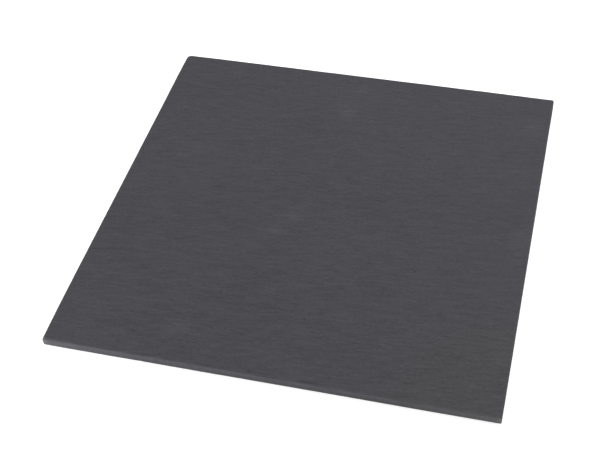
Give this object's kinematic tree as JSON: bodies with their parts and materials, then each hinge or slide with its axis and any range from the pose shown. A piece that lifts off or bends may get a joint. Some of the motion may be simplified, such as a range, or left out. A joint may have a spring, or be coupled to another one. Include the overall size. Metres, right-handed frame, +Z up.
{
  "type": "stone work slab",
  "caption": "Thin square dark stone slab with a matt, flat working face, lying on small rubber feet. A hard base for leatherworking.",
  "frame": {"origin": "on the surface that the slab lies on, below the centre of its square outline", "axes": "+Z up out of the working face; the front edge runs along X at -Y and +X is to the right seen from the front"},
  "size_m": [0.3, 0.3, 0.007],
  "materials": {
    "stone": "matt dark grey, fine streaky grain",
    "foot_rubber": "matt black"
  },
  "bodies": {
    "root": {"stone_slab": "stone", "foot_front_left": "foot_rubber", "foot_front_right": "foot_rubber", "foot_back_left": "foot_rubber", "foot_back_right": "foot_rubber"}
  },
  "joints": []
}
